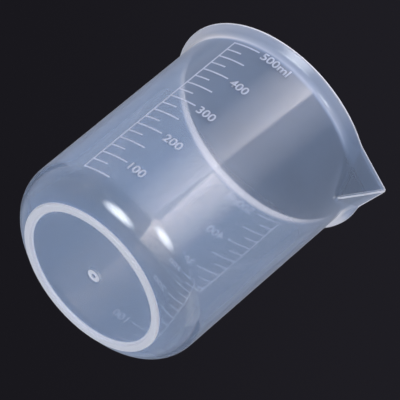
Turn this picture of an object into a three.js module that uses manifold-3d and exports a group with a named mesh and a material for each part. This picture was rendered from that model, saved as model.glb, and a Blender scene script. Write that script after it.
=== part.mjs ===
// Measuring cup for 500 ml: one moulded translucent beaker with a rounded heel, a foot ring,
// a flared rim and a pinched pouring spout, and two printed scales on opposite sides of its wall.
// The spout points along +X, and the front scale faces -Y.

import * as THREE from 'three';
import { mergeVertices } from 'three/addons/utils/BufferGeometryUtils.js';
import Module from 'manifold-3d';

// Driving dimensions of the moulding, in millimetres and degrees
const HEIGHT = 105.5;
const WALL_RADIUS = 43.15;
const WALL = 1.55;
const DRAFT_ANGLE = 0.6;
const FLOOR = 1.1;
const HEEL_RADIUS = 12.6;
const INNER_HEEL_RADIUS = 10;
const FOOT_RADIUS = 32.3;
const FOOT_WIDTH = 2.9;
const FOOT_HEIGHT = 1;
const FOOT_EDGE_RADIUS = 0.5;
const RECESS_DEPTH = 1.3;
const GATE_RADIUS = 2.4;
const GATE_PIN_RADIUS = 1;
const GATE_DEPTH = 0.3;

// The rim bends outwards from the wall and runs on as a cone to a round edge
const LIP_REACH = 3.35;
const LIP_ANGLE = 52;
const LIP_BEND_RADIUS = 3;

// The spout is a V in plan, swept down along a sloping keel until it sinks into the wall
const SPOUT_OVERHANG = 9.5;
const SPOUT_WIDTH = 33.6;
const SPOUT_DEPTH = 12.5;
const SPOUT_WALL = 1.35;
const SPOUT_TIP_RADIUS = 2;
const SPOUT_CHANNEL_RADIUS = 0.8;
const SPOUT_BLEND_RADIUS = 12;

// The printed scales: a mark every step from the first volume up to the lip, in millilitres
const FIRST_VOLUME = 50;
const VOLUME_STEP = 25;
const LONG_MARK_VOLUME = 50;
const BAR_AZIMUTH = -106;
const LONG_MARK = 12.3;
const SHORT_MARK = 7.2;
const LINE_WIDTH = 0.65;
const INK_HEIGHT = 0.2;
const INK_CLEARANCE = 0.1;
const SCALE_TOP_MARGIN = 1.5;

// Fineness of the faceted surfaces
const TURN_STEPS = 72;
const HEEL_STEPS = 8;
const BEND_STEPS = 4;
const EDGE_STEPS = 6;
const TIP_STEPS = 6;
const BLEND_STEPS = 3;
const LEVEL_STEP = 0.02;

const MATERIALS = {
  plastic: { color: 0xb9c6da, roughness: 0.25, metalness: 0, transparent: true, opacity: 0.45 },
  ink: { color: 0xe9edf6, roughness: 0.5, metalness: 0 },
};

const { sin, cos, tan, atan, atan2, sqrt, hypot, PI } = Math;
const radians = THREE.MathUtils.degToRad;

const wasm = await Module();
wasm.setup();

// Levels and radii that the moulding's inner and outer profiles share
const lipAngle = radians(LIP_ANGLE);
const draft = tan(radians(DRAFT_ANGLE));
const edgeRadius = WALL / 2;
const rimRadius = WALL_RADIUS + LIP_REACH;
const edgeCentre = new THREE.Vector2(rimRadius - edgeRadius, HEIGHT - edgeRadius);
const lipCentreRadius = WALL_RADIUS + LIP_BEND_RADIUS;
const lipMiddleBend = LIP_BEND_RADIUS + edgeRadius;
const lipCone = (edgeCentre.x - lipCentreRadius + lipMiddleBend * cos(lipAngle)) / sin(lipAngle);
const lipStart = edgeCentre.y - lipMiddleBend * sin(lipAngle) - lipCone * cos(lipAngle);
const heelLevel = FOOT_HEIGHT + HEEL_RADIUS;
const floorTop = RECESS_DEPTH + FLOOR;
const innerHeelLevel = floorTop + INNER_HEEL_RADIUS;

// How far a joined or cutting solid runs on past the wall that it meets
const overlap = 4 * WALL;

function outerWall(z) {
  return WALL_RADIUS - (lipStart - z) * draft;
}

function arc(centreX, centreY, radius, from, to, steps) {
  const points = [];
  for (let i = 0; i <= steps; i += 1) {
    const angle = from + ((to - from) * i) / steps;
    points.push(new THREE.Vector2(centreX + radius * cos(angle), centreY + radius * sin(angle)));
  }
  return points;
}

function point(x, y) {
  return new THREE.Vector2(x, y);
}

// Closed solids for joining and cutting
function toSolid(geometry) {
  geometry.deleteAttribute('normal');
  geometry.deleteAttribute('uv');
  const merged = mergeVertices(geometry);
  const index = merged.index.array;
  const triangles = [];
  for (let i = 0; i < index.length; i += 3) {
    const corners = [index[i], index[i + 1], index[i + 2]];
    if (new Set(corners).size === 3) triangles.push(...corners);
  }
  const vertProperties = merged.attributes.position.array;
  return new wasm.Manifold(
    new wasm.Mesh({ numProp: 3, vertProperties, triVerts: new Uint32Array(triangles) }),
  );
}

function toGeometry(solid) {
  const mesh = solid.getMesh();
  const geometry = new THREE.BufferGeometry();
  geometry.setAttribute('position', new THREE.BufferAttribute(mesh.vertProperties, 3));
  geometry.setIndex(new THREE.BufferAttribute(mesh.triVerts, 1));
  geometry.computeVertexNormals();
  return geometry;
}

function revolve(profile) {
  return toSolid(new THREE.LatheGeometry(profile, TURN_STEPS).rotateX(PI / 2));
}

// Where the heel's arc meets the side of the foot ring
function heelSideLevel(centreRadius) {
  const across = FOOT_RADIUS - centreRadius;
  return heelLevel - sqrt(HEEL_RADIUS ** 2 - across ** 2);
}

function outerProfile() {
  const heelCentre = outerWall(heelLevel) - HEEL_RADIUS;
  const sideLevel = heelSideLevel(heelCentre);
  const heelFrom = atan2(sideLevel - heelLevel, FOOT_RADIUS - heelCentre);
  const footInner = FOOT_RADIUS - FOOT_WIDTH;
  const edge = FOOT_EDGE_RADIUS;
  return [
    point(0, RECESS_DEPTH),
    point(GATE_PIN_RADIUS, RECESS_DEPTH),
    point(GATE_PIN_RADIUS, RECESS_DEPTH + GATE_DEPTH),
    point(GATE_RADIUS, RECESS_DEPTH + GATE_DEPTH),
    point(GATE_RADIUS, RECESS_DEPTH),
    point(footInner, RECESS_DEPTH),
    ...arc(footInner + edge, edge, edge, PI, 1.5 * PI, 2),
    ...arc(FOOT_RADIUS - edge, edge, edge, -PI / 2, 0, 2),
    ...arc(heelCentre, heelLevel, HEEL_RADIUS, heelFrom, 0, HEEL_STEPS),
    ...arc(lipCentreRadius, lipStart, LIP_BEND_RADIUS, PI, PI - lipAngle, BEND_STEPS),
    ...arc(edgeCentre.x, edgeCentre.y, edgeRadius, -lipAngle, PI / 2, EDGE_STEPS),
    point(0, HEIGHT),
  ];
}

function cavityProfile() {
  const bend = LIP_BEND_RADIUS + WALL;
  const heelCentre = outerWall(innerHeelLevel) - WALL - INNER_HEEL_RADIUS;
  return [
    point(0, floorTop),
    ...arc(heelCentre, innerHeelLevel, INNER_HEEL_RADIUS, -PI / 2, 0, HEEL_STEPS),
    ...arc(lipCentreRadius, lipStart, bend, PI, PI - lipAngle, BEND_STEPS),
    ...arc(edgeCentre.x, edgeCentre.y, edgeRadius, PI - lipAngle, PI / 2, 2),
    point(edgeCentre.x, HEIGHT + overlap),
    point(0, HEIGHT + overlap),
  ];
}

// The spout's plan at the rim: a rounded V whose sides leave the rim in hollow blends
const spoutApex = rimRadius + SPOUT_OVERHANG;
const spoutRoot = outerWall(HEIGHT - SPOUT_DEPTH);
const keelSlope = (spoutApex - spoutRoot) / SPOUT_DEPTH;
const spoutHalf = SPOUT_WIDTH / 2;
const spoutAngle = atan2(spoutHalf, spoutApex - sqrt(rimRadius ** 2 - spoutHalf ** 2));
const spoutTip = spoutApex - SPOUT_TIP_RADIUS * (1 / sin(spoutAngle) - 1);

function spoutPlan(apex, tipRadius, circleRadius, blendRadius) {
  const sideNormal = PI / 2 - spoutAngle;
  const sideDistance = apex * cos(sideNormal);
  const tipCentre = apex - tipRadius / cos(sideNormal);
  const blendDistance = sideDistance + blendRadius;
  const along = sqrt((circleRadius + blendRadius) ** 2 - blendDistance ** 2);
  const blendAngle = sideNormal - atan(along / blendDistance);
  const blendX = (circleRadius + blendRadius) * cos(blendAngle);
  const blendY = (circleRadius + blendRadius) * sin(blendAngle);
  const side = [
    ...arc(tipCentre, 0, tipRadius, 0, sideNormal, TIP_STEPS / 2),
    ...arc(blendX, blendY, blendRadius, sideNormal + PI, blendAngle + PI, BLEND_STEPS),
  ];
  const backRadius = spoutRoot - overlap;
  side.push(point(backRadius * cos(blendAngle), backRadius * sin(blendAngle)));
  const mirrored = side.slice(1).map((p) => point(p.x, -p.y)).reverse();
  return new THREE.Shape([...mirrored, ...side]);
}

function sweepSpout(plan, top) {
  const depth = SPOUT_DEPTH + overlap + (top - HEIGHT);
  const geometry = new THREE.ExtrudeGeometry(plan, { depth, steps: 1, bevelEnabled: false });
  const shear = new THREE.Matrix4().makeShear(0, 0, 0, 0, keelSlope, 0);
  geometry.translate(0, 0, top - depth - HEIGHT);
  geometry.applyMatrix4(shear);
  return toSolid(geometry.translate(0, 0, HEIGHT));
}

function spoutOutside() {
  const circle = rimRadius - edgeRadius;
  return sweepSpout(spoutPlan(spoutApex, SPOUT_TIP_RADIUS, circle, SPOUT_BLEND_RADIUS), HEIGHT);
}

function spoutChannel() {
  const sideSlope = keelSlope * sin(spoutAngle);
  const inset = SPOUT_WALL * hypot(1, sideSlope);
  const apex = spoutApex - inset / sin(spoutAngle);
  const circle = rimRadius - WALL;
  const blend = SPOUT_BLEND_RADIUS + SPOUT_WALL;
  return sweepSpout(spoutPlan(apex, SPOUT_CHANNEL_RADIUS, circle, blend), HEIGHT + overlap);
}

function cupBody() {
  const outside = revolve(outerProfile()).add(spoutOutside());
  return outside.subtract(revolve(cavityProfile())).subtract(spoutChannel());
}

// Height of the liquid's surface for a volume in the cup
function cavityRadius(z) {
  const wall = outerWall(Math.max(z, innerHeelLevel)) - WALL;
  const below = Math.max(innerHeelLevel - z, 0);
  return wall - INNER_HEEL_RADIUS + sqrt(INNER_HEEL_RADIUS ** 2 - below ** 2);
}

function levelOf(volume) {
  const cubicMillimetres = volume * 1000;
  let filled = 0;
  let z = floorTop;
  while (filled < cubicMillimetres) {
    filled += PI * cavityRadius(z + LEVEL_STEP / 2) ** 2 * LEVEL_STEP;
    z += LEVEL_STEP;
  }
  return z;
}

function scaleMarks() {
  const marks = [];
  const highest = lipStart - SCALE_TOP_MARGIN;
  for (let volume = FIRST_VOLUME; levelOf(volume) < highest; volume += VOLUME_STEP) {
    const length = volume % LONG_MARK_VOLUME === 0 ? LONG_MARK : SHORT_MARK;
    marks.push({ level: levelOf(volume), length });
  }
  return marks;
}

// A thin skin over the wall and the upper half of the heel, which the scales are cut from
function inkSkin() {
  const low = INK_CLEARANCE;
  const high = INK_CLEARANCE + INK_HEIGHT;
  const centre = outerWall(heelLevel) - HEEL_RADIUS;
  const inside = arc(centre, heelLevel, HEEL_RADIUS + low, -PI / 4, 0, HEEL_STEPS / 2);
  const outside = arc(centre, heelLevel, HEEL_RADIUS + high, -PI / 4, 0, HEEL_STEPS / 2);
  inside.push(point(WALL_RADIUS + low, lipStart));
  outside.push(point(WALL_RADIUS + high, lipStart));
  return revolve([...outside, ...inside.reverse(), outside[0]]);
}

// A wedge about the axis, from one angle on along the wall, that cuts one line out of the skin
function lineCutter(from, length, bottom, depth) {
  const to = from + length / WALL_RADIUS;
  const near = WALL_RADIUS - overlap;
  const far = WALL_RADIUS + overlap;
  const corners = [
    point(near * cos(from), near * sin(from)),
    point(far * cos(from), far * sin(from)),
    point(far * cos(to), far * sin(to)),
    point(near * cos(to), near * sin(to)),
  ];
  const geometry = new THREE.ExtrudeGeometry(new THREE.Shape(corners), { depth, bevelEnabled: false });
  return toSolid(geometry.translate(0, 0, bottom));
}

function printedScale(turn) {
  const marks = scaleMarks();
  const from = radians(BAR_AZIMUTH + turn);
  const bottom = marks[0].level - LINE_WIDTH / 2;
  const top = marks[marks.length - 1].level + LINE_WIDTH / 2;
  let cutter = lineCutter(from, LINE_WIDTH, bottom, top - bottom);
  for (const { level, length } of marks) {
    cutter = cutter.add(lineCutter(from, length, level - LINE_WIDTH / 2, LINE_WIDTH));
  }
  return inkSkin().intersect(cutter);
}

function namedMesh(name, solid, material) {
  const mesh = new THREE.Mesh(toGeometry(solid), new THREE.MeshStandardMaterial(material));
  mesh.name = name;
  return mesh;
}

// The origin lies on the standing plane under the middle of the rim and spout together
const cup = new THREE.Group();
cup.name = 'measuring_cup';
cup.position.x = (rimRadius - spoutTip) / 2;
cup.add(namedMesh('cup_body', cupBody(), MATERIALS.plastic));
cup.add(namedMesh('front_scale', printedScale(0), MATERIALS.ink));
cup.add(namedMesh('rear_scale', printedScale(180), MATERIALS.ink));

export default cup;
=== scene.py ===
"""Looks of a 500 ml measuring cup: a milky plastic moulding with two white printed scales."""

from collections import namedtuple
from math import atan2, cos, hypot, pi, radians, sin, sqrt, tan

import bpy
from bpy.props import FloatProperty, FloatVectorProperty, PointerProperty
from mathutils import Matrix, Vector


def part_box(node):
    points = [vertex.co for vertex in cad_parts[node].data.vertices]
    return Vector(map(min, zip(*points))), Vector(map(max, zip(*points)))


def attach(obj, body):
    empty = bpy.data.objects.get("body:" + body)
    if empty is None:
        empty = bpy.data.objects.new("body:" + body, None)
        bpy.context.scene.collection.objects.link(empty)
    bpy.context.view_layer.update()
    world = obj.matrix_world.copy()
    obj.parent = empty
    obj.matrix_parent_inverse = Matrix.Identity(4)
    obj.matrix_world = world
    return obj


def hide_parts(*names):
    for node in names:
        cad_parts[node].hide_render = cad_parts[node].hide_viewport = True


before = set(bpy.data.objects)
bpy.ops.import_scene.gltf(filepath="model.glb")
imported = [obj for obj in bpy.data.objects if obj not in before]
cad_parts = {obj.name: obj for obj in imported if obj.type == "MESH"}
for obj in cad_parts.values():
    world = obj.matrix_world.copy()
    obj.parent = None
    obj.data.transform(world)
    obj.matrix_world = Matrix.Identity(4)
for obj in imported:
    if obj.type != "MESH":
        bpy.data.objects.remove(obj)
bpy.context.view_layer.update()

bl_info = {
    "name": "Measuring Cup",
    "version": (1, 0, 0),
    "blender": (4, 5, 0),
    "location": "View3D > Sidebar > Measuring Cup",
    "description": "Moulds a spouted measuring cup, prints its scales and sets its stage",
    "category": "Add Mesh",
}

MM = 0.001
BODY = "root"
CUP_NODE = "cup_body"
CUP_PIECE = "cup_moulding"
INK_MATERIAL = "white_print"
SCALE_NODES = {"front": "front_scale", "rear": "rear_scale"}
NUMERAL_STEP = 100
UNIT = "ml"
cup_low, cup_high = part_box(CUP_NODE)

# Edges along each stretch of the cup's section.
PIN_STEPS = 2
BASE_STEPS = 8
RECESS_STEPS = 4
FOOT_EDGE_STEPS = 5
FOOT_STEPS = 3
HEEL_STEPS = 28
WALL_STEPS = 12
SPOUT_WALL_STEPS = 20
BEND_STEPS = 12
LIP_STEPS = 4
RIM_STEPS = 16
INNER_HEEL_STEPS = 24
FLOOR_STEPS = 8

# Small slopes in the gate mark, as shares of its pin's radius, its depth and its own radius.
PIN_TOP = 0.9
GATE_SLOPE = 0.2
GATE_MOUTH = 1.05

# The turn's sectors from the middle of the spout, each an angle and its number of steps.
TIP_SECTOR = (radians(3.0), 12)
FLANK_SECTOR = (radians(23.0), 40)
REST_STEPS = 154

# Where the spout is drawn out: half of its sector, the room below the keel's foot,
# and a slack round the rim's edge.
SPOUT_SECTOR = pi / 4
SPOUT_ROOM = 4 * MM
EDGE_SLACK = 1.01

# Distances within which points of the section, a numeral or a figure's outline are the same.
SECTION_WELD = 0.004 * MM
NUMERAL_WELD = 0.002 * MM
OUTLINE_WELD = 0.05 * MM

# Faces that meet at less than this angle are shaded as one.
SMOOTH_ANGLE = radians(42.0)

# How marks are told apart on the CAD scale: beyond the bar's own width, by height and by length.
BAR_SPAN = radians(4.0)
MARK_GAP = 1.5 * MM
LENGTH_SLACK = 0.2 * MM

# Drawing the print: slacks in finding a mark's end, edges along a mark, and the room before the wall.
LEVEL_SLACK = 0.05 * MM
SIDE_SLACK = 0.01 * MM
MARK_STEPS = 5
PRINT_STANDOFF = 5 * MM

# A figure's height beside the font's size, and the edges along its curves.
FIGURE_SHARE = 0.72
FIGURE_STEPS = 6

# Soft borders of the regions in the plastic: where each begins and ends, from the line that it follows.
RING_INNER = (-1.2 * MM, -0.4 * MM)
RING_OUTER = (-0.1 * MM, 0.5 * MM)
RING_TOP = (1.0 * MM, 2.4 * MM)
# The gate mark's ring of painted highlight.
GATE_INNER = (-0.2 * MM, 0.1 * MM)
GATE_OUTER = (0.1 * MM, 0.5 * MM)
GATE_TOP = (0.5 * MM, 0.9 * MM)
BASE_OUTER = (-2.0 * MM, 0.0)
BASE_TOP = (0.8 * MM, 1.2 * MM)
# The heel's band of painted shade.
HEEL_SHADE_LOW = (2.0 * MM, 5.0 * MM)
HEEL_SHADE_HIGH = (9.0 * MM, 15.0 * MM)
# The band of painted highlight along the rim's edge.
RIM_HIGHLIGHT = (-1.3 * MM, -0.9 * MM)
LIP_START = (-7.0 * MM, -5.0 * MM)
LIP_MIDDLE = (-0.25 * MM, 0.25 * MM)
SPOUT_OUT = (0.4 * MM, 1.4 * MM)
SPOUT_BESIDE = (-9.0 * MM, 0.0)
# The keel's line, partly its thicker crease and partly a painted highlight.
KEEL_LINE = (-0.9 * MM, -0.3 * MM)
KEEL_HALF = (0.3 * MM, 0.6 * MM)
FRONT_TOP = (-15.0 * MM, 3.0 * MM)

# The side of the cup that gets painted shade, by the cosine of the azimuth, the lean of the upper front's
# border in X and Y, the bend of the lip's middle, how much lower the painted highlight on the edge begins on
# the spout, and the shares that turn pale.
SHADED_SIDE = (0.45, 0.95)
FRONT_LEAN = (0.709, -1.077)
LIP_CURVE = 169.0
SPOUT_HIGHLIGHT_DROP = 0.7 * MM
PALE_SHARE = (0.05, 0.7)

# Noises: their scale and detail, and the span of what they vary.
CLOUD_NOISE = (55.0, 3.0)
CLOUD_HAZE = (0.85, 1.15)
CLOUD_GLOSS = (0.8, 1.2)
INK_NOISE = (900.0, 3.0)
INK_TONE = 0.86
INK_ROUGHNESS = (0.4, 0.6)
INK_COVER = (0.9, 1.1)
FLOOR_NOISE = (220.0, 4.0)
FLOOR_ROUGHNESS = (0.55, 0.75)

# Sockets of a Mix node that blends colours.
MIX_FIRST = 6
MIX_SECOND = 7
MIX_RESULT = 2

# The floor, whose fade and inset are shares of its radius, and the backdrop's change from dark to bright.
FLOOR_POINTS = 96
FLOOR_DROP = 0.3 * MM
FLOOR_INSET = 0.3
FLOOR_FADE = (0.35, 0.98)
BRIGHTER_WAY = (0.7675, 0.0108, 0.6410)
BACKDROP_SPAN = (-0.09, 0.09)

# The camera, with its turn in degrees and its lens and sensor in millimetres.
CAMERA_PLACE = (0.413652, -0.627487, -0.427330)
CAMERA_TURN = (134.9020, -39.8654, 0.8056)
CAMERA_LENS = 214.4565
CAMERA_SENSOR = 36.0
CAMERA_NEAR = 0.01


def length(name, description, millimetres):
    """A size that the sidebar shows in the scene's units."""
    return FloatProperty(
        name=name,
        description=description,
        default=millimetres * MM,
        min=0.0,
        precision=5,
        subtype="DISTANCE",
        unit="LENGTH",
    )


def turn(name, description, degrees):
    """An angle that the sidebar shows in degrees."""
    return FloatProperty(
        name=name, description=description, default=radians(degrees), subtype="ANGLE", unit="ROTATION"
    )


def share(name, description, value):
    """A number from nothing to all."""
    return FloatProperty(
        name=name, description=description, default=value, min=0.0, max=1.0, subtype="FACTOR"
    )


def number(name, description, value):
    """A plain number, not below nothing."""
    return FloatProperty(name=name, description=description, default=value, min=0.0)


def colour(name, description, value):
    """A linear colour."""
    return FloatVectorProperty(
        name=name, description=description, default=value, size=3, min=0.0, max=1.0, subtype="COLOR"
    )


class CupMouldSizes(bpy.types.PropertyGroup):
    """Sizes of the moulding's turned section."""

    height: length("Height", "From the standing plane to the top of the rim", cup_high.z / MM)
    wall_radius: length("Wall Radius", "Outer radius of the wall where the rim begins to flare", 43.15)
    wall: length("Wall", "Thickness of the wall", 1.55)
    draft: turn("Draft", "Lean of the wall, wider towards the rim", 0.6)
    floor: length("Floor", "Thickness of the floor", 1.1)
    heel_radius: length("Heel Radius", "Outer rounding between wall and base", 12.6)
    inner_heel_radius: length("Inner Heel Radius", "Inner rounding between wall and floor", 10.0)
    foot_radius: length("Foot Radius", "Outer radius of the foot ring", 32.3)
    foot_width: length("Foot Width", "Width of the foot ring", 2.9)
    foot_height: length("Foot Height", "Height of the heel's lowest point", 1.0)
    foot_edge: length("Foot Edge", "Rounding of the foot ring's edges", 0.5)
    recess: length("Recess", "Depth of the base just inside the foot ring", 1.3)
    dome: length("Dome", "Rise of the base and floor towards their middle", 1.0)
    gate_radius: length("Gate Radius", "Radius of the gate mark in the base", 2.4)
    gate_pin: length("Gate Pin", "Radius of the pin in the gate mark", 1.0)
    gate_depth: length("Gate Depth", "Depth of the gate mark", 0.3)
    lip_reach: length("Lip Reach", "How far the rim flares out beyond the wall", 3.35)
    lip_angle: turn("Lip Angle", "Flare of the rim from upright", 52.0)
    lip_bend: length("Lip Bend", "Outer radius of the bend below the rim", 3.0)


class CupSpoutSizes(bpy.types.PropertyGroup):
    """Sizes of the pinched pouring spout."""

    overhang: length("Overhang", "Reach of the spout beyond the rim", 10.3)
    width: length("Width", "Width of the spout where it leaves the rim", 36.0)
    depth: length("Depth", "Depth of the keel below the rim", 14.2)
    wall: length("Wall", "Thickness of the spout's sides", 1.35)
    tip_radius: length("Tip Radius", "Rounding of the tip outside", 1.6)
    channel_radius: length("Channel Radius", "Rounding of the channel inside", 0.9)
    rim_blend: length("Rim Blend", "Softness of the joint at the rim", 0.6)
    keel_blend: length("Keel Blend", "Softness of the joint at the keel's foot", 0.7)
    foot_stand: length("Foot Stand", "How far the keel's foot stands out of the wall", 2.6)
    foot_slope: number("Foot Slope", "How steeply the keel's foot falls back to the wall", 1.6)


class CupPrintSizes(bpy.types.PropertyGroup):
    """Sizes of the printed scales."""

    line: length("Line", "Width of the bar and the marks", 0.65)
    ink: length("Ink", "Thickness of the ink", 0.07)
    lift: length("Lift", "Height of the ink's underside over the wall", 0.04)
    numeral_height: length("Numeral Height", "Height of a figure", 3.85)
    numeral_gap: length("Numeral Gap", "Room between a mark and its numeral", 1.9)
    numeral_drop: length("Numeral Drop", "How far a numeral's middle lies below its mark", 0.5)
    numeral_width: number("Numeral Width", "Width of the figures beside the font's own", 1.02)
    numeral_weight: length("Numeral Weight", "Thickening of the figures' strokes", 0.1)


class CupFinish(bpy.types.PropertyGroup):
    """Colours and finish of the plastic and the ink."""

    haze_colour: colour("Haze Colour", "Colour of the light that thin plastic scatters", (0.435, 0.62, 0.99))
    # This pale colour also tints the painted highlights on the rim's edge, the keel and the gate mark.
    thick_and_highlight_colour: colour("Thick Colour", "Colour of thick plastic, as in the foot ring", (0.82, 0.86, 1.0))
    clear_colour: colour("Clear Colour", "Tint of what is seen through the wall", (1.0, 0.955, 0.875))
    shadow_colour: colour("Shadow Colour", "Tint of the light that one surface lets past", (0.9, 0.89, 0.88))
    haze: share("Haze", "Share of light that one thin surface scatters, seen head on", 0.165)
    edge_haze: share("Edge Haze", "Added share at a grazing view", 0.7)
    # This share also carries the painted highlights on the rim's edge, the keel and the gate mark.
    thick_and_highlight_haze: share("Thick Haze", "Added share in the foot ring, the rim and the other thick places", 0.8)
    blur: share("Blur", "Share of what the upper front lets through that it blurs", 0.17)
    blur_roughness: share("Blur Roughness", "Roughness of the blurred share", 0.32)
    gloss: share("Gloss Roughness", "Roughness of the moulded surface", 0.048)
    milk_roughness: share("Milk Roughness", "Roughness of the milky share", 0.3)
    milk_gloss: share("Milk Gloss", "Specular level of the milky share", 0.05)
    bending: number("Bending", "Refractive index of the plastic", 1.49)
    ink_colour: colour("Ink Colour", "Colour of the print", (0.69, 0.76, 0.97))
    ink_cover: share("Ink Cover", "Share of the light that the thin print stops", 0.72)


class CupMilkiness(bpy.types.PropertyGroup):
    """How milky or clear the moulding's regions are, with the painted highlight on the rim's edge and
    painted shade on the heel and the spout's side.
    """

    # A painted highlight: the milkiness that makes the rim's edge a bright line.
    rim_edge_highlight: share("Rim Edge", "Milkiness of the rim's round edge, seen at a slant", 0.85)
    lip_inside: share("Lip Inside", "Milkiness of the flared rim's inner side", 0.95)
    lip_outside: share("Lip Outside", "Milkiness of the flared rim's outer side, seen head on", 0.34)
    lip_slant: share("Lip Slant", "Added milkiness of the outer side, seen at a slant", 0.95)
    lip_beside: share("Lip Beside Spout", "How much less milky the flared rim is beside the spout", 0.75)
    lip_spout: share("Lip On Spout", "How much less milky the flared rim is on the spout", 0.6)
    # Painted shade: how much the heel is darkened by cutting its haze.
    heel_painted_shade: share("Heel Clear", "How much less haze the heel has", 0.35)
    spout_clear: share("Spout Clear", "How much less haze the spout has", 0.1)
    # Painted shade: how much the spout's side of the cup is darkened by cutting its haze.
    side_painted_shade: share("Side Clear", "How much less haze the spout's side of the cup has", 0.18)
    slant_pale: share("Slant Pale", "How pale the haze turns, seen at a slant", 0.8)


class CupStage(bpy.types.PropertyGroup):
    """Floor, backdrop and soft light."""

    floor_colour: colour("Floor Colour", "Colour of the floor", (0.62, 0.64, 0.68))
    floor_radius: length("Floor Radius", "Radius of the floor", 600.0)
    backdrop: colour("Backdrop", "Colour behind the cup", (0.0097, 0.0091, 0.0123))
    backdrop_rise: number("Backdrop Rise", "How much brighter the backdrop is on its bright side", 1.36)
    ambient: colour("Ambient", "Colour of the soft light from all round", (1.0, 0.93, 0.88))
    ambient_level: number("Ambient Level", "Strength of the soft light from all round", 0.35)


class Shade:
    """A socket of a node tree, so that sums on a surface can be written as Python expressions."""

    def __init__(self, tree, socket=None):
        self.tree = tree
        self.socket = socket

    def node(self, kind, settings=(), values=(), output=0):
        """Adds a node: first its settings, then the values or links of its sockets."""
        made = self.tree.nodes.new(kind)
        for name, value in dict(settings).items():
            setattr(made, name, value)
        for name, value in dict(values).items():
            if isinstance(value, Shade):
                self.tree.links.new(value.socket, made.inputs[name])
            else:
                made.inputs[name].default_value = value
        return Shade(self.tree, made.outputs[output] if len(made.outputs) else None)

    def outputs(self, *names):
        """Outputs of the node that this socket belongs to."""
        return [Shade(self.tree, self.socket.node.outputs[name]) for name in names]

    def sum(self, operation, first, second):
        return self.node("ShaderNodeMath", {"operation": operation}, {0: first, 1: second})

    def __add__(self, other):
        return self.sum("ADD", self, other)

    def __radd__(self, other):
        return self.sum("ADD", other, self)

    def __sub__(self, other):
        return self.sum("SUBTRACT", self, other)

    def __rsub__(self, other):
        return self.sum("SUBTRACT", other, self)

    def __mul__(self, other):
        return self.sum("MULTIPLY", self, other)

    def __rmul__(self, other):
        return self.sum("MULTIPLY", other, self)

    def __truediv__(self, other):
        return self.sum("DIVIDE", self, other)

    def __rtruediv__(self, other):
        return self.sum("DIVIDE", other, self)

    def __pow__(self, other):
        return self.sum("POWER", self, other)

    def __rpow__(self, other):
        return self.sum("POWER", other, self)

    def least(self, other):
        return self.sum("MINIMUM", self, other)

    def most(self, other):
        return self.sum("MAXIMUM", self, other)

    def none(self):
        """1 where a count is still 0."""
        return self.sum("LESS_THAN", self, 0.5)

    def step(self, low, high):
        """Rises smoothly from 0 at low to 1 at high."""
        return self.node(
            "ShaderNodeMapRange",
            {"interpolation_type": "SMOOTHSTEP"},
            {"Value": self, "From Min": low, "From Max": high, "To Min": 0.0, "To Max": 1.0},
        )

    def past(self, line, border):
        """0 before a line and 1 behind it, with a soft border."""
        return self.step(line + border[0], line + border[1])

    def span(self, low, high):
        """Goes from low to high as this value goes from 0 to 1."""
        return low + (high - low) * self

    def noise(self, place, scale, detail):
        return self.node("ShaderNodeTexNoise", {}, {"Vector": place, "Scale": scale, "Detail": detail})

    def blend(self, first, second):
        """Blends two colours, of which the second shows where this value is 1."""
        colours = {"Factor": self, MIX_FIRST: rgba(first), MIX_SECOND: rgba(second)}
        return self.node("ShaderNodeMix", {"data_type": "RGBA"}, colours, output=MIX_RESULT)

    def mix(self, first, second):
        """Mixes two surfaces, of which the second shows where this value is 1."""
        return self.node("ShaderNodeMixShader", {}, {0: self, 1: first, 2: second})

    def principled(self, values):
        return self.node("ShaderNodeBsdfPrincipled", {}, values)

    def light_path(self, *names):
        return self.node("ShaderNodeLightPath").outputs(*names)


def rgba(values):
    return (*values, 1.0)


def new_material(name):
    """An empty node material and the start of its expressions."""
    material = bpy.data.materials.new(name)
    material.use_nodes = True
    material.node_tree.nodes.clear()
    return material, Shade(material.node_tree)


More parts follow.
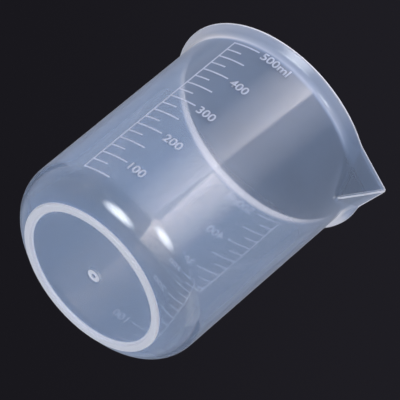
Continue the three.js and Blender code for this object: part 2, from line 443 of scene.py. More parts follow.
class CupRegions:
    """Masks over the moulding's surface: 1 in a region and 0 outside it, with soft borders."""

    def __init__(self, shade, form):
        self.shade = shade
        self.form = form
        self.sizes = form.mould
        self.place = shade.node("ShaderNodeTexCoord", output="Object")
        shift = {"Vector": self.place, "Location": (-form.axis_x, 0.0, 0.0)}
        centred = shade.node("ShaderNodeMapping", {}, shift)
        parts = shade.node("ShaderNodeSeparateXYZ", {}, {"Vector": centred})
        self.x, self.y, self.z = parts.outputs("X", "Y", "Z")
        self.radius = (self.x * self.x + self.y * self.y) ** 0.5
        self.slant = shade.node("ShaderNodeLayerWeight", {}, {"Blend": 0.5}, output="Facing")
        self.foot_inner = self.sizes.foot_radius - self.sizes.foot_width
        self.base_z = self.sizes.recess + self.sizes.dome
        self.spout = self.x.past(self.sizes.wall_radius, SPOUT_OUT)

    def foot_ring(self):
        within = self.radius.past(self.foot_inner, RING_INNER)
        within = within * (1.0 - self.radius.past(self.sizes.foot_radius, RING_OUTER))
        return within * (1.0 - self.z.past(0.0, RING_TOP))

    def gate(self):
        """The gate mark round its pin, made milky and pale as a painted highlight."""
        within = self.radius.past(self.sizes.gate_pin, GATE_INNER)
        within = within * (1.0 - self.radius.past(self.sizes.gate_radius, GATE_OUTER))
        return within * (1.0 - self.z.past(self.base_z, GATE_TOP))

    def base(self):
        """The base inside the foot ring, without the floor above it."""
        within = 1.0 - self.radius.past(self.foot_inner, BASE_OUTER)
        return within * (1.0 - self.z.past(self.base_z, BASE_TOP))

    # Painted shade: the band round the heel whose haze is cut to make it darker.
    def heel(self):
        return self.z.step(*HEEL_SHADE_LOW) * (1.0 - self.z.step(*HEEL_SHADE_HIGH))

    def rim_edge_highlight(self):
        """A painted highlight: the round edge of the rim and the spout, made milky and pale where it is seen
        at a slant.
        """
        level = self.z + SPOUT_HIGHLIGHT_DROP * self.spout
        return level.past(self.sizes.height, RIM_HIGHLIGHT) * self.slant**0.5

    def lip(self, milkiness):
        """The flared rim, with its own milkiness inside, outside and near the spout."""
        rise = (self.z - self.form.lip_z).most(0.0)
        middle = self.form.middle(self.form.lip_z) + LIP_CURVE * rise * rise
        inside = 1.0 - (self.radius - middle).past(0.0, LIP_MIDDLE)
        inside = inside * (1.0 - self.shade.node("ShaderNodeNewGeometry", output="Backfacing"))
        outside = milkiness.lip_outside + milkiness.lip_slant * self.slant**2
        beside = self.x.past(self.sizes.wall_radius, SPOUT_BESIDE)
        lip = self.z.past(self.sizes.height, LIP_START)
        lip = lip * (milkiness.lip_inside * inside + (1.0 - inside) * outside)
        return lip * (1.0 - milkiness.lip_beside * beside) * (1.0 - milkiness.lip_spout * self.spout)

    def keel(self):
        """The line down the outer edge of the spout's keel, milky and pale partly as its thicker crease and
        partly as a painted highlight.
        """
        reach = (self.form.apex + self.form.inner_apex) / 2
        along = self.x + self.form.keel_slope * (self.sizes.height - self.z)
        narrow, wide = KEEL_HALF
        aside = (self.y * self.y).step(narrow**2, wide**2)
        return self.spout * along.past(reach, KEEL_LINE) * (1.0 - aside)

    def shaded_side(self):
        """The side of the cup that the spout is on, down to the foot ring, where its haze is cut as painted
        shade.
        """
        return (self.x / self.radius).step(*SHADED_SIDE) * (1.0 - self.base())

    def upper_front(self):
        """The upper wall around the front scale."""
        lean_x, lean_y = FRONT_LEAN
        level = self.z + lean_x * self.x + lean_y * self.y
        return level.past(self.sizes.height, FRONT_TOP)


def milky_plastic(finish, milkiness, form):
    """Milky polypropylene: clear and glossy with a bluish haze, paler where it is thick, with painted
    highlights on the rim's edge, the keel and the gate mark, and painted shade on the heel and the spout's
    side.
    """
    material, shade = new_material("milky_polypropylene")
    regions = CupRegions(shade, form)
    cloud = shade.noise(regions.place, *CLOUD_NOISE)
    grazing = regions.slant**3
    # Thick plastic and painted highlights together: the foot ring, the flared rim and the keel's crease are
    # thick, and the gate mark, the keel and the rim's edge carry painted highlights.
    thick = regions.foot_ring() + regions.gate() + regions.lip(milkiness) + regions.keel()
    thick = (thick + milkiness.rim_edge_highlight * regions.rim_edge_highlight()).least(1.0)
    thin = finish.haze * cloud.span(*CLOUD_HAZE) + finish.edge_haze * grazing
    # Painted shade on the heel: less haze there makes it darker.
    thin = thin * (1.0 - milkiness.heel_painted_shade * regions.heel())
    thin = thin * (1.0 - milkiness.spout_clear * regions.spout)
    # Painted shade on the spout's side of the cup: less haze there makes that side darker.
    thin = thin * (1.0 - milkiness.side_painted_shade * regions.shaded_side())
    haze = thin + finish.thick_and_highlight_haze * thick
    pale = (thick.step(*PALE_SHARE) + milkiness.slant_pale * grazing).least(1.0)
    see_through = {
        "Base Color": rgba(finish.clear_colour),
        "IOR": finish.bending,
        "Transmission Weight": 1.0,
    }
    gloss = finish.gloss * cloud.span(*CLOUD_GLOSS)
    clear = shade.principled({**see_through, "Roughness": gloss})
    matt = {"Roughness": finish.blur_roughness, "Specular Tint": rgba((0.0, 0.0, 0.0))}
    blurred = shade.principled({**see_through, **matt})
    milk = shade.principled(
        {
            "Base Color": pale.blend(finish.haze_colour, finish.thick_and_highlight_colour),
            "Roughness": finish.milk_roughness,
            "IOR": finish.bending,
            "Specular IOR Level": finish.milk_gloss,
        }
    )
    through = shade.node("ShaderNodeBsdfTransparent", {}, {"Color": rgba(finish.shadow_colour)})
    shadow = shade.node("ShaderNodeLightPath", output="Is Shadow Ray")
    clear = (finish.blur * regions.upper_front()).mix(clear, blurred)
    body = haze.mix(clear, milk)
    shade.node("ShaderNodeOutputMaterial", {}, {"Surface": shadow.mix(body, through)})
    return material


def white_ink(finish):
    """White print, a little uneven in tone, cover and gloss."""
    material, shade = new_material(INK_MATERIAL)
    place = shade.node("ShaderNodeTexCoord", output="Object")
    cover = shade.noise(place, *INK_NOISE)
    thin_tone = [INK_TONE * value for value in finish.ink_colour]
    ink = shade.principled(
        {
            "Base Color": cover.blend(thin_tone, finish.ink_colour),
            "Roughness": cover.span(*INK_ROUGHNESS),
            "Alpha": finish.ink_cover * cover.span(*INK_COVER),
        }
    )
    shade.node("ShaderNodeOutputMaterial", {}, {"Surface": ink})
    return material


def start_piece(name):
    """A new piece at the origin, open in edit mode, with one selected point there."""
    bpy.ops.object.select_all(action="DESELECT")
    bpy.ops.mesh.primitive_plane_add(size=MM, location=(0.0, 0.0, 0.0))
    piece = bpy.context.object
    piece.name = name
    piece.data.name = name
    bpy.ops.object.mode_set(mode="EDIT")
    bpy.ops.mesh.select_mode(type="VERT")
    bpy.ops.mesh.select_all(action="SELECT")
    bpy.ops.mesh.merge(type="CENTER")
    return piece


class ProfilePen:
    """Draws a profile in the XZ plane by extruding and spinning its last point."""

    def __init__(self, x, z):
        self.x = x
        self.z = z
        bpy.ops.transform.translate(value=(x, 0.0, z))

    def line(self, x, z, steps=1):
        pace = ((x - self.x) / steps, 0.0, (z - self.z) / steps)
        for _ in range(steps):
            bpy.ops.mesh.extrude_vertices_move(TRANSFORM_OT_translate={"value": pace})
        self.x = x
        self.z = z

    def arc(self, x, z, angle, steps):
        """Turns about a centre, anticlockwise where the angle is positive."""
        bpy.ops.mesh.spin(steps=steps, angle=angle, center=(x, 0.0, z), axis=(0.0, 1.0, 0.0))
        away_x, away_z = self.x - x, self.z - z
        self.x = x + away_x * cos(angle) - away_z * sin(angle)
        self.z = z + away_x * sin(angle) + away_z * cos(angle)


class CupForm:
    """Levels and radii of the cup that its section, spout, prints and plastic share."""

    def __init__(self, mould, spout):
        self.mould = mould
        self.spout = spout
        self.edge = mould.wall / 2
        self.rim_radius = mould.wall_radius + mould.lip_reach
        self.edge_x = self.rim_radius - self.edge
        self.edge_z = mould.height - self.edge
        self.lip_x = mould.wall_radius + mould.lip_bend
        self.middle_bend = mould.lip_bend + self.edge
        cone = (self.edge_x - self.lip_x + self.middle_bend * cos(mould.lip_angle)) / sin(mould.lip_angle)
        self.lip_z = self.edge_z - self.middle_bend * sin(mould.lip_angle) - cone * cos(mould.lip_angle)
        self.heel_z = mould.foot_height + mould.heel_radius
        self.floor_z = mould.recess + mould.floor
        self.inner_heel_z = self.floor_z + mould.inner_heel_radius
        self.spout_low = mould.height - spout.depth - SPOUT_ROOM
        self.apex = self.rim_radius + spout.overhang
        foot = self.outer(mould.height - spout.depth) + spout.foot_stand
        self.keel_slope = (self.apex - foot) / spout.depth
        half = spout.width / 2
        self.side = pi / 2 - atan2(half, self.apex - sqrt(self.rim_radius**2 - half**2))
        slope = self.keel_slope * cos(self.side)
        self.inner_apex = self.apex - spout.wall * hypot(1.0, slope) / cos(self.side)
        self.axis_x = cup_low.x + self.rim_radius

    def outer(self, z):
        """Outer radius of the wall."""
        return self.mould.wall_radius - (self.lip_z - z) * tan(self.mould.draft)

    def middle(self, z):
        """Radius of the middle of the wall and the flared rim."""
        rise = z - self.lip_z
        if rise <= 0.0:
            return self.outer(z) - self.edge
        if rise < self.middle_bend * sin(self.mould.lip_angle):
            return self.lip_x - sqrt(self.middle_bend**2 - rise**2)
        return self.edge_x + (z - self.edge_z) * tan(self.mould.lip_angle)

    def spout_radius(self, angle, z, apex, tip):
        """Radius of the spout's rounded V at an angle from its middle and a height."""
        fall = self.mould.height - z
        below = max(fall - self.spout.depth, 0.0)
        reach = apex - self.keel_slope * (fall - below) - self.spout.foot_slope * below
        centre = reach - tip / cos(self.side)
        flank = atan2(tip * sin(self.side), centre + tip * cos(self.side))
        if abs(angle) < flank:
            return centre * cos(angle) + sqrt(tip**2 - (centre * sin(angle)) ** 2)
        return reach * cos(self.side) / cos(abs(angle) - self.side)

    def spout_pull(self, radius, angle, z):
        """How far the spout draws a point of the rim and wall outwards."""
        spout = self.spout
        apex, tip, place, level = self.apex, spout.tip_radius, radius, z
        if hypot(radius - self.edge_x, z - self.edge_z) < self.edge * EDGE_SLACK:
            apex = (self.apex + self.inner_apex) / 2
            tip = (spout.tip_radius + spout.channel_radius) / 2
            place, level = self.edge_x, self.edge_z
        elif radius < self.middle(z):
            apex, tip = self.inner_apex, spout.channel_radius
        height = max(0.0, min(1.0, (self.mould.height - level) / spout.depth))
        blend = spout.rim_blend + (spout.keel_blend - spout.rim_blend) * height
        gain = self.spout_radius(angle, level, apex, tip) - place
        return max(gain, 0.0) + max(blend - abs(gain), 0.0) ** 2 / (4 * blend)


def apply_modifier(piece, kind, **settings):
    """Adds a modifier and applies it at once."""
    modifier = piece.modifiers.new(kind.title(), kind)
    for name, value in settings.items():
        setattr(modifier, name, value)
    bpy.ops.object.modifier_apply(modifier=modifier.name)


def draw_base(pen, mould):
    """Draws the section of the base, from its middle over the gate mark to the foot ring's outer edge."""
    base_z = mould.recess + mould.dome
    gate_z = base_z + mould.gate_depth
    slope_z = base_z + mould.gate_depth * GATE_SLOPE
    pen.line(mould.gate_pin * PIN_TOP, base_z, PIN_STEPS)
    pen.line(mould.gate_pin, slope_z)
    pen.line(mould.gate_pin, gate_z)
    pen.line(mould.gate_radius, gate_z)
    pen.line(mould.gate_radius, slope_z)
    pen.line(mould.gate_radius * GATE_MOUTH, base_z)
    edge = mould.foot_edge
    foot_inner = mould.foot_radius - mould.foot_width
    pen.line(foot_inner - edge, mould.recess, BASE_STEPS)
    pen.arc(foot_inner - edge, mould.recess - edge, -pi / 2, RECESS_STEPS)
    pen.line(foot_inner, edge)
    pen.arc(foot_inner + edge, edge, pi / 2, FOOT_EDGE_STEPS)
    pen.line(mould.foot_radius - edge, 0.0, FOOT_STEPS)
    pen.arc(mould.foot_radius - edge, edge, pi / 2, FOOT_EDGE_STEPS)


def draw_profile(form):
    """Draws the cup's section from the middle of the base, over the rim, to the middle of the floor."""
    mould = form.mould
    pen = ProfilePen(0.0, mould.recess + mould.dome)
    draw_base(pen, mould)
    heel_x = form.outer(form.heel_z) - mould.heel_radius
    across = mould.foot_radius - heel_x
    side_z = form.heel_z - sqrt(mould.heel_radius**2 - across**2)
    pen.line(mould.foot_radius, side_z)
    pen.arc(heel_x, form.heel_z, atan2(form.heel_z - side_z, across), HEEL_STEPS)
    pen.line(form.outer(form.spout_low), form.spout_low, WALL_STEPS)
    pen.line(mould.wall_radius, form.lip_z, SPOUT_WALL_STEPS)
    lean_x, lean_z = cos(mould.lip_angle), sin(mould.lip_angle)
    pen.arc(form.lip_x, form.lip_z, -mould.lip_angle, BEND_STEPS)
    pen.line(form.edge_x + form.edge * lean_x, form.edge_z - form.edge * lean_z, LIP_STEPS)
    pen.arc(form.edge_x, form.edge_z, pi, RIM_STEPS)
    bend = mould.lip_bend + mould.wall
    pen.line(form.lip_x - bend * lean_x, form.lip_z + bend * lean_z, LIP_STEPS)
    pen.arc(form.lip_x, form.lip_z, mould.lip_angle, BEND_STEPS)
    pen.line(form.outer(form.spout_low) - mould.wall, form.spout_low, SPOUT_WALL_STEPS)
    inner_wall = form.outer(form.inner_heel_z) - mould.wall
    pen.line(inner_wall, form.inner_heel_z, WALL_STEPS)
    pen.arc(inner_wall - mould.inner_heel_radius, form.inner_heel_z, -pi / 2, INNER_HEEL_STEPS)
    pen.line(0.0, form.floor_z + mould.dome, FLOOR_STEPS)


def turn_profile():
    """Turns the section once round, in finer steps across the spout."""
    rest = 2 * pi - 2 * (TIP_SECTOR[0] + FLANK_SECTOR[0])
    sectors = (TIP_SECTOR, FLANK_SECTOR, (rest, REST_STEPS), FLANK_SECTOR, TIP_SECTOR)
    for angle, steps in sectors:
        bpy.ops.mesh.spin(steps=steps, angle=angle, center=(0.0, 0.0, 0.0), axis=(0.0, 0.0, 1.0))
    bpy.ops.mesh.select_all(action="SELECT")
    bpy.ops.mesh.remove_doubles(threshold=SECTION_WELD)
    bpy.ops.mesh.normals_make_consistent(inside=False)


def draw_out_spout(cup, form):
    """Draws the spout out of the rim, towards a wider cylinder, by weights on the wall's points."""
    wide = 2 * form.apex
    group = cup.vertex_groups.new(name="spout")
    for point in cup.data.vertices:
        radius = hypot(point.co.x, point.co.y)
        angle = atan2(point.co.y, point.co.x)
        if point.co.z > form.spout_low and abs(angle) < SPOUT_SECTOR:
            pull = form.spout_pull(radius, angle, point.co.z)
            if pull > 0.0:
                group.add([point.index], pull / (wide - radius), "REPLACE")
    apply_modifier(
        cup,
        "CAST",
        cast_type="CYLINDER",
        factor=1.0,
        radius=0.0,
        size=wide,
        use_radius_as_size=False,
        use_z=False,
        vertex_group="spout",
    )
    cup.vertex_groups.clear()


class MEASURING_CUP_OT_mould(bpy.types.Operator):
    """Mould the cup: turn its section round and draw out the spout"""

    bl_idname = "measuring_cup.mould"
    bl_label = "Mould Cup"

    def execute(self, context):
        scene = context.scene
        form = CupForm(scene.cup_mould, scene.cup_spout)
        cup = start_piece(CUP_PIECE)
        draw_profile(form)
        bpy.ops.mesh.select_all(action="SELECT")
        turn_profile()
        bpy.ops.object.mode_set(mode="OBJECT")
        draw_out_spout(cup, form)
        bpy.ops.object.mode_set(mode="EDIT")
        bpy.ops.mesh.select_all(action="SELECT")
        bpy.ops.transform.translate(value=(form.axis_x, 0.0, 0.0))
        bpy.ops.object.mode_set(mode="OBJECT")
        bpy.ops.object.shade_smooth_by_angle(angle=SMOOTH_ANGLE)
        cup.data.materials.append(milky_plastic(scene.cup_finish, scene.cup_milkiness, form))
        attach(cup, BODY)
        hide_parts(CUP_NODE)
        return {"FINISHED"}


def read_marks(node, form):
    """The bar's azimuth and each mark's level and length, from the CAD scale."""
    points = []
    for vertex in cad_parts[node].data.vertices:
        x, y = vertex.co.x - form.axis_x, vertex.co.y
        points.append((Vector((x, y)), vertex.co.z))
    middle = sum((p for p, _ in points), Vector((0.0, 0.0))).normalized()
    offsets = [(atan2(middle.cross(p), middle.dot(p)), z) for p, z in points]
    first = min(offset for offset, _ in offsets)
    bar = atan2(middle.y, middle.x) + first
    beyond = sorted((z, offset - first) for offset, z in offsets if offset - first > BAR_SPAN)
    marks = []
    for z, reach in beyond:
        if marks and z - marks[-1][0] < MARK_GAP:
            marks[-1] = (marks[-1][0], z, max(marks[-1][2], reach))
        else:
            marks.append((z, z, reach))
    if not marks:
        raise RuntimeError("no marks found on " + node)
    return bar, [((low + high) / 2, reach * form.mould.wall_radius) for low, high, reach in marks]


def face_wall(piece, form, azimuth, z):
    """Places a flat piece a little off the wall, facing outwards."""
    stand = form.mould.wall_radius + PRINT_STANDOFF
    piece.location = (form.axis_x + stand * cos(azimuth), stand * sin(azimuth), z)
    piece.rotation_euler = (pi / 2, 0.0, azimuth + pi / 2)
    bpy.context.view_layer.update()


def lay_on_wall(piece, sizes):
    """Presses a flat print onto the wall and gives it the ink's thickness."""
    apply_modifier(
        piece,
        "SHRINKWRAP",
        target=bpy.data.objects[CUP_PIECE],
        wrap_method="PROJECT",
        use_project_z=True,
        use_negative_direction=True,
        use_positive_direction=False,
        wrap_mode="ABOVE_SURFACE",
        offset=sizes.lift,
    )
    bpy.ops.object.transform_apply(location=True, rotation=True, scale=True)
    apply_modifier(piece, "SOLIDIFY", thickness=sizes.ink, offset=1.0)


def select_ends(piece, right, levels):
    """Selects the right ends of the marks at some levels, in edit mode."""
    bpy.ops.mesh.select_mode(type="EDGE")
    bpy.ops.mesh.select_all(action="DESELECT")
    bpy.ops.object.mode_set(mode="OBJECT")
    points = piece.data.vertices
    for edge in piece.data.edges:
        ends = [points[index].co for index in edge.vertices]
        middle = (ends[0].y + ends[1].y) / 2
        on_right = all(abs(end.x - right) < SIDE_SLACK for end in ends)
        edge.select = on_right and any(abs(middle - level) < LEVEL_SLACK for level in levels)
    bpy.ops.object.mode_set(mode="EDIT")


def extrude(x, y, steps=1):
    """Extrudes what is selected, in the flat print's plane."""
    pace = (x / steps, y / steps, 0.0)
    for _ in range(steps):
        bpy.ops.mesh.extrude_region_move(TRANSFORM_OT_translate={"value": pace})


def draw_comb(piece, marks, line, shift):
    """Draws the bar upwards and the marks out of its right side, flat."""
    bpy.ops.transform.translate(value=(-shift, marks[0][0] - line / 2, 0.0))
    bpy.ops.mesh.extrude_vertices_move(TRANSFORM_OT_translate={"value": (line, 0.0, 0.0)})
    bpy.ops.mesh.select_all(action="SELECT")
    for (level, _), (following, _) in zip(marks, marks[1:]):
        extrude(0.0, line)
        extrude(0.0, following - level - line)
    extrude(0.0, line)
    drawn = line
    for reach in sorted({round(reach / MM, 1) * MM for _, reach in marks}):
        select_ends(piece, drawn - shift, [level for level, long in marks if long > reach - LENGTH_SLACK])
        extrude(reach - drawn, 0.0, MARK_STEPS)
        drawn = reach
    bpy.ops.mesh.select_all(action="SELECT")
    bpy.ops.mesh.normals_make_consistent(inside=False)
    bpy.ops.object.mode_set(mode="OBJECT")


class MEASURING_CUP_OT_print_marks(bpy.types.Operator):
    """Print the bar and marks of both scales on the wall"""

    bl_idname = "measuring_cup.print_marks"
    bl_label = "Print Marks"

    def execute(self, context):
        scene = context.scene
        form = CupForm(scene.cup_mould, scene.cup_spout)
        sizes = scene.cup_print
        ink = white_ink(scene.cup_finish)
        for side, node in SCALE_NODES.items():
            bar, marks = read_marks(node, form)
            shift = max(reach for _, reach in marks) / 2
            piece = start_piece(side + "_marks")
            draw_comb(piece, marks, sizes.line, shift)
            face_wall(piece, form, bar + shift / form.mould.wall_radius, 0.0)
            lay_on_wall(piece, sizes)
            piece.data.materials.append(ink)
            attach(piece, BODY)
            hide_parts(node)
        return {"FINISHED"}


def drop_doubled_points(outline):
    """Takes out points of a figure's outline that lie on the one before, where an offset crosses itself."""
    bpy.ops.object.mode_set(mode="EDIT")
    bpy.ops.curve.select_all(action="DESELECT")
    doubled = 0
    for spline in outline.splines:
        points = list(spline.bezier_points)
        for before, point in zip([points[-1], *points], points):
            if (point.co - before.co).length < OUTLINE_WELD:
                point.select_control_point = True
                doubled += 1
    if doubled:
        bpy.ops.curve.delete(type="VERT")
    bpy.ops.object.mode_set(mode="OBJECT")


def flat_numeral(words, sizes):
    """A numeral as a flat mesh with its middle at the origin, and half of its width."""
    bpy.ops.object.select_all(action="DESELECT")
    bpy.ops.object.text_add(location=(0.0, 0.0, 0.0))
    numeral = bpy.context.object
    numeral.data.body = words
    numeral.data.size = sizes.numeral_height / FIGURE_SHARE
    numeral.data.resolution_u = FIGURE_STEPS
    bpy.ops.object.convert(target="CURVE")
    numeral = bpy.context.object
    drop_doubled_points(numeral.data)
    numeral.data.offset = sizes.numeral_weight
    bpy.ops.object.convert(target="MESH")
    numeral = bpy.context.object
    across = [point.co.x for point in numeral.data.vertices]
    up = [point.co.y for point in numeral.data.vertices]
    grow_y = sizes.numeral_height / (max(up) - min(up))
    grow_x = grow_y * sizes.numeral_width
    half = (max(across) - min(across)) * grow_x / 2
    bpy.ops.object.mode_set(mode="EDIT")
    bpy.ops.mesh.select_all(action="SELECT")
    bpy.ops.mesh.remove_doubles(threshold=NUMERAL_WELD)
    bpy.ops.transform.translate(value=(-min(across), -min(up), 0.0))
    bpy.ops.transform.resize(value=(grow_x, grow_y, 1.0), center_override=(0.0, 0.0, 0.0))
    bpy.ops.transform.translate(value=(-half, -sizes.numeral_height / 2, 0.0))
    bpy.ops.object.mode_set(mode="OBJECT")
    return numeral, half


class MEASURING_CUP_OT_print_numerals(bpy.types.Operator):
    """Print the numerals of both scales beside every second long mark"""

    bl_idname = "measuring_cup.print_numerals"
    bl_label = "Print Numerals"

    def execute(self, context):
        scene = context.scene
        form = CupForm(scene.cup_mould, scene.cup_spout)
        sizes = scene.cup_print
        ink = bpy.data.materials[INK_MATERIAL]
        for side, node in SCALE_NODES.items():
            bar, marks = read_marks(node, form)
            longest = max(reach for _, reach in marks)
            start = longest + sizes.numeral_gap
            numbered = [level for level, reach in marks if reach > longest - LENGTH_SLACK][1::2]
            made = []
            for count, level in enumerate(numbered, start=1):
                words = str(NUMERAL_STEP * count)
                if level == numbered[-1]:
                    words += UNIT
                numeral, half = flat_numeral(words, sizes)
                azimuth = bar + (start + half) / form.mould.wall_radius
                face_wall(numeral, form, azimuth, level - sizes.numeral_drop)
                lay_on_wall(numeral, sizes)
                made.append(numeral)
            for numeral in made:
                numeral.select_set(True)
            bpy.context.view_layer.objects.active = made[0]
            bpy.ops.object.join()
            piece = bpy.context.object
            piece.name = side + "_numerals"
            piece.data.name = piece.name
            piece.data.materials.clear()
            piece.data.materials.append(ink)
            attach(piece, BODY)
        return {"FINISHED"}


def pale_floor(stage):
    """A pale floor that fades out into the backdrop and is not seen from below."""
    material, shade = new_material("pale_floor")
    place = shade.node("ShaderNodeTexCoord", output="Object")
    away = shade.node("ShaderNodeVectorMath", {"operation": "LENGTH"}, {0: place}, output="Value")
    fade = away.step(*(stage.floor_radius * reach for reach in FLOOR_FADE))
    under = shade.node("ShaderNodeNewGeometry", output="Backfacing")
    camera, passed, glossy, crossed = shade.light_path(
        "Is Camera Ray", "Is Transmission Ray", "Is Glossy Ray", "Transparent Depth"
    )
    shown = (1.0 - fade) * (1.0 - under) * (camera + passed + glossy * crossed.none())
    grain = shade.noise(place, *FLOOR_NOISE)
    paint = {"Base Color": rgba(stage.floor_colour), "Roughness": grain.span(*FLOOR_ROUGHNESS)}
    clear = shade.node("ShaderNodeBsdfTransparent")
    surface = shown.mix(clear, shade.principled(paint))
    shade.node("ShaderNodeOutputMaterial", {}, {"Surface": surface})
    return material


def light_backdrop(scene):
    """A dark backdrop where it is seen or mirrored, and soft light from all round for the rest."""
    stage = scene.cup_stage
    world = bpy.data.worlds.new("studio")
    world.use_nodes = True
    world.node_tree.nodes.clear()
    shade = Shade(world.node_tree)
    camera, glossy, passed, scattered = shade.light_path(
        "Is Camera Ray", "Is Glossy Ray", "Is Transmission Ray", "Diffuse Depth"
    )
    seen = camera + (glossy + passed) * scattered.none()
    towards = shade.node("ShaderNodeTexCoord", output="Generated")
    brighter = {0: towards, 1: BRIGHTER_WAY}
    across = shade.node("ShaderNodeVectorMath", {"operation": "DOT_PRODUCT"}, brighter, output="Value")
    bright_side = [stage.backdrop_rise * value for value in stage.backdrop]
    shades = across.step(*BACKDROP_SPAN).blend(stage.backdrop, bright_side)
    dark = shade.node("ShaderNodeBackground", {}, {"Color": shades, "Strength": 1.0})
    ambient = {"Color": rgba(stage.ambient), "Strength": stage.ambient_level}
    soft = shade.node("ShaderNodeBackground", {}, ambient)
    shade.node("ShaderNodeOutputWorld", {}, {"Surface": seen.mix(soft, dark)})
    scene.world = world


# The main panel: its place, the point it faces, its width and height,
# and how far it reaches left of and below the point that its glow is drawn from.
PANEL_PLACE = (0.746, -0.893, 0.848)
PANEL_AIM = (0.573, 0.222, 0.346)
PANEL_SIZE = (2.0, 1.352)
PANEL_LEFT = 0.4
PANEL_LOW = 0.352
# Its bright part: the level at that point, the rise to the right, the slanted edge, the fade at the top.
BRIGHT_LEVEL = 0.8215
BRIGHT_RISE = 1.86
BRIGHT_WAY = (0.824, -0.566)
BRIGHT_EDGE = (0.195, 0.23)
BRIGHT_TOP = (0.3, 0.6)
# The wash beside it, with its fall to the right, and the level of both over the panel's height.
WASH_LEVEL = 0.46
WASH_FALL = 0.27
HEIGHT_LEVEL = 0.5
HEIGHT_RISE = 1.42
# Where a lamp begins and ends to fade, as shares of half of its size.
LAMP_FADE = (0.15, 1.0)


def bright_and_wash(across, up):
    """The glow of the main panel: bright left of a slanted edge, and a wash to its right that fades out."""
    right = across * PANEL_SIZE[0] - PANEL_LEFT
    high = up * PANEL_SIZE[1] - PANEL_LOW
    level = (HEIGHT_LEVEL + HEIGHT_RISE * high).least(1.0)
    way_right, way_high = BRIGHT_WAY
    beyond = (way_right * right + way_high * high).step(*BRIGHT_EDGE)
    bright = (BRIGHT_LEVEL + BRIGHT_RISE * right) * level**3 * (1.0 - high.step(*BRIGHT_TOP))
    wash = (WASH_LEVEL - WASH_FALL * right) * level
    return bright * (1.0 - beyond) + wash * beyond


def brightest_middle(across, up):
    """The glow of a lamp that fades to its rim."""
    away = 2.0 * ((across - 0.5) ** 2 + (up - 0.5) ** 2) ** 0.5
    return 1.0 - away.step(*LAMP_FADE)


# Soft lights, with places and sizes in metres. One for "both" lights the cup and is mirrored in it, one for
# "fill" only lights it, and one for "highlight" is only mirrored in it. Without a glow, a light is even.
Softbox = namedtuple("Softbox", "name use place aim size radiance tint glow")
MIDDLE = (0.0, 0.0, 0.05)
WHITE = (1.0, 1.0, 1.0)
COOL = (0.93, 0.96, 1.0)
BLUE = (0.82, 0.92, 1.0)
WARM = (1.0, 0.925, 0.935)
LEFT_LAMP = (-0.045, -0.512, -0.564)
RIGHT_LAMP = (0.625, -0.556, 0.054)
SOFTBOXES = (
    Softbox("top_panel", "both", PANEL_PLACE, PANEL_AIM, PANEL_SIZE, 5.8, WARM, bright_and_wash),
    Softbox("right_panel", "fill", (0.42, -1.24, 0.85), MIDDLE, (1.6, 1.0), 1.55, WHITE, None),
    Softbox("left_panel", "both", (-0.479, -0.447, 0.509), MIDDLE, (0.9, 0.5), 0.24, WHITE, None),
    Softbox("back_panel", "both", (0.62, 0.45, 0.1), MIDDLE, (0.5, 0.5), 0.7, WHITE, None),
    Softbox("side_panel", "fill", (0.15, 0.8, 0.05), MIDDLE, (0.5, 0.5), 2.2, WHITE, None),
    Softbox("low_panel", "fill", (0.12, -0.4, -0.81), MIDDLE, (0.8, 0.8), 1.85, BLUE, None),
    Softbox("left_lamp", "highlight", LEFT_LAMP, MIDDLE, (0.54, 0.54), 24.0, COOL, brightest_middle),
    Softbox("right_lamp", "highlight", RIGHT_LAMP, MIDDLE, (0.5, 0.6), 17.0, COOL, brightest_middle),
)


def add_softbox(spec):
    """Adds a soft light, as bright as its radiance where its glow is 1."""
    bpy.ops.object.light_add(type="AREA", location=spec.place)
    lamp = bpy.context.object
    lamp.name = spec.name
    lamp.data.name = spec.name
    lamp.data.shape = "RECTANGLE"
    lamp.data.size, lamp.data.size_y = spec.size
    lamp.data.energy = spec.radiance * spec.size[0] * spec.size[1] * pi
    lamp.data.color = spec.tint
    lamp.visible_camera = False
    lamp.visible_transmission = spec.use == "both"
    lamp.visible_diffuse = spec.use != "highlight"
    lamp.visible_glossy = spec.use != "fill"
    towards = Vector(spec.aim) - Vector(spec.place)
    lamp.rotation_euler = towards.to_track_quat("-Z", "Y").to_euler()
    lamp.data.use_nodes = True
    lamp.data.node_tree.nodes.clear()
    shade = Shade(lamp.data.node_tree)
    passed, mirrored, scattered = shade.light_path("Is Transmission Ray", "Glossy Depth", "Diffuse Depth")
    if spec.use == "highlight":
        strength = scattered.none()
    else:
        strength = 1.0 - passed * mirrored.none()
    if spec.glow:
        over = shade.node("ShaderNodeNewGeometry", output="Parametric")
        across, up = shade.node("ShaderNodeSeparateXYZ", {}, {"Vector": over}).outputs("X", "Y")
        strength = spec.glow(across, up) * strength
    light = shade.node("ShaderNodeEmission", {}, {"Strength": strength})
    shade.node("ShaderNodeOutputLight", {}, {"Surface": light})


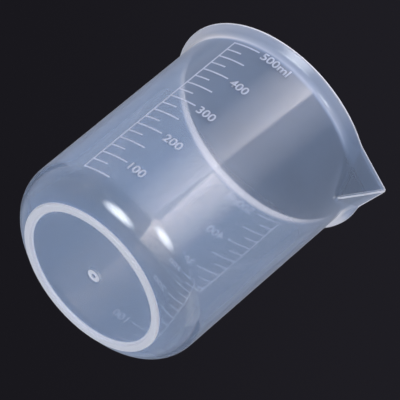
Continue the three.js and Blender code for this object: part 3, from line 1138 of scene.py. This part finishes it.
class MEASURING_CUP_OT_set_stage(bpy.types.Operator):
    """Set the floor, the backdrop, the lights and the camera"""

    bl_idname = "measuring_cup.set_stage"
    bl_label = "Set Stage"

    def execute(self, context):
        scene = context.scene
        stage = scene.cup_stage
        bpy.ops.object.select_all(action="DESELECT")
        bpy.ops.mesh.primitive_circle_add(
            vertices=FLOOR_POINTS, radius=stage.floor_radius, fill_type="NGON"
        )
        floor = bpy.context.object
        floor.name = "studio_floor"
        bpy.ops.object.mode_set(mode="EDIT")
        bpy.ops.mesh.select_all(action="SELECT")
        bpy.ops.transform.translate(value=(0.0, 0.0, -FLOOR_DROP))
        bpy.ops.mesh.inset(thickness=FLOOR_INSET * stage.floor_radius)
        bpy.ops.object.mode_set(mode="OBJECT")
        floor.data.materials.append(pale_floor(stage))
        light_backdrop(scene)
        for spec in SOFTBOXES:
            add_softbox(spec)
        bpy.ops.object.camera_add(location=CAMERA_PLACE)
        camera = bpy.context.object
        camera.rotation_euler = [radians(angle) for angle in CAMERA_TURN]
        camera.data.sensor_width = CAMERA_SENSOR
        camera.data.lens = CAMERA_LENS
        camera.data.clip_start = CAMERA_NEAR
        scene.camera = camera
        scene.view_settings.view_transform = "Standard"
        return {"FINISHED"}


class VIEW3D_PT_measuring_cup(bpy.types.Panel):
    """Sizes, colours and steps of the measuring cup"""

    bl_idname = "VIEW3D_PT_measuring_cup"
    bl_label = "Measuring Cup"
    bl_space_type = "VIEW_3D"
    bl_region_type = "UI"
    bl_category = "Measuring Cup"

    def draw(self, context):
        for operator in OPERATORS:
            self.layout.operator(operator.bl_idname)
        for name in SETTINGS:
            group = getattr(context.scene, name)
            box = self.layout.box()
            for key in group.__annotations__:
                box.prop(group, key)


SETTINGS = {
    "cup_mould": CupMouldSizes,
    "cup_spout": CupSpoutSizes,
    "cup_print": CupPrintSizes,
    "cup_finish": CupFinish,
    "cup_milkiness": CupMilkiness,
    "cup_stage": CupStage,
}
OPERATORS = (
    MEASURING_CUP_OT_mould,
    MEASURING_CUP_OT_print_marks,
    MEASURING_CUP_OT_print_numerals,
    MEASURING_CUP_OT_set_stage,
)


def register():
    for cls in (*SETTINGS.values(), *OPERATORS, VIEW3D_PT_measuring_cup):
        bpy.utils.register_class(cls)
    for name, group in SETTINGS.items():
        setattr(bpy.types.Scene, name, PointerProperty(type=group))


def unregister():
    for name in SETTINGS:
        delattr(bpy.types.Scene, name)
    for cls in (VIEW3D_PT_measuring_cup, *OPERATORS, *SETTINGS.values()):
        bpy.utils.unregister_class(cls)


def main():
    register()
    bpy.ops.measuring_cup.mould()
    bpy.ops.measuring_cup.print_marks()
    bpy.ops.measuring_cup.print_numerals()
    bpy.ops.measuring_cup.set_stage()


if __name__ == "__main__":
    main()
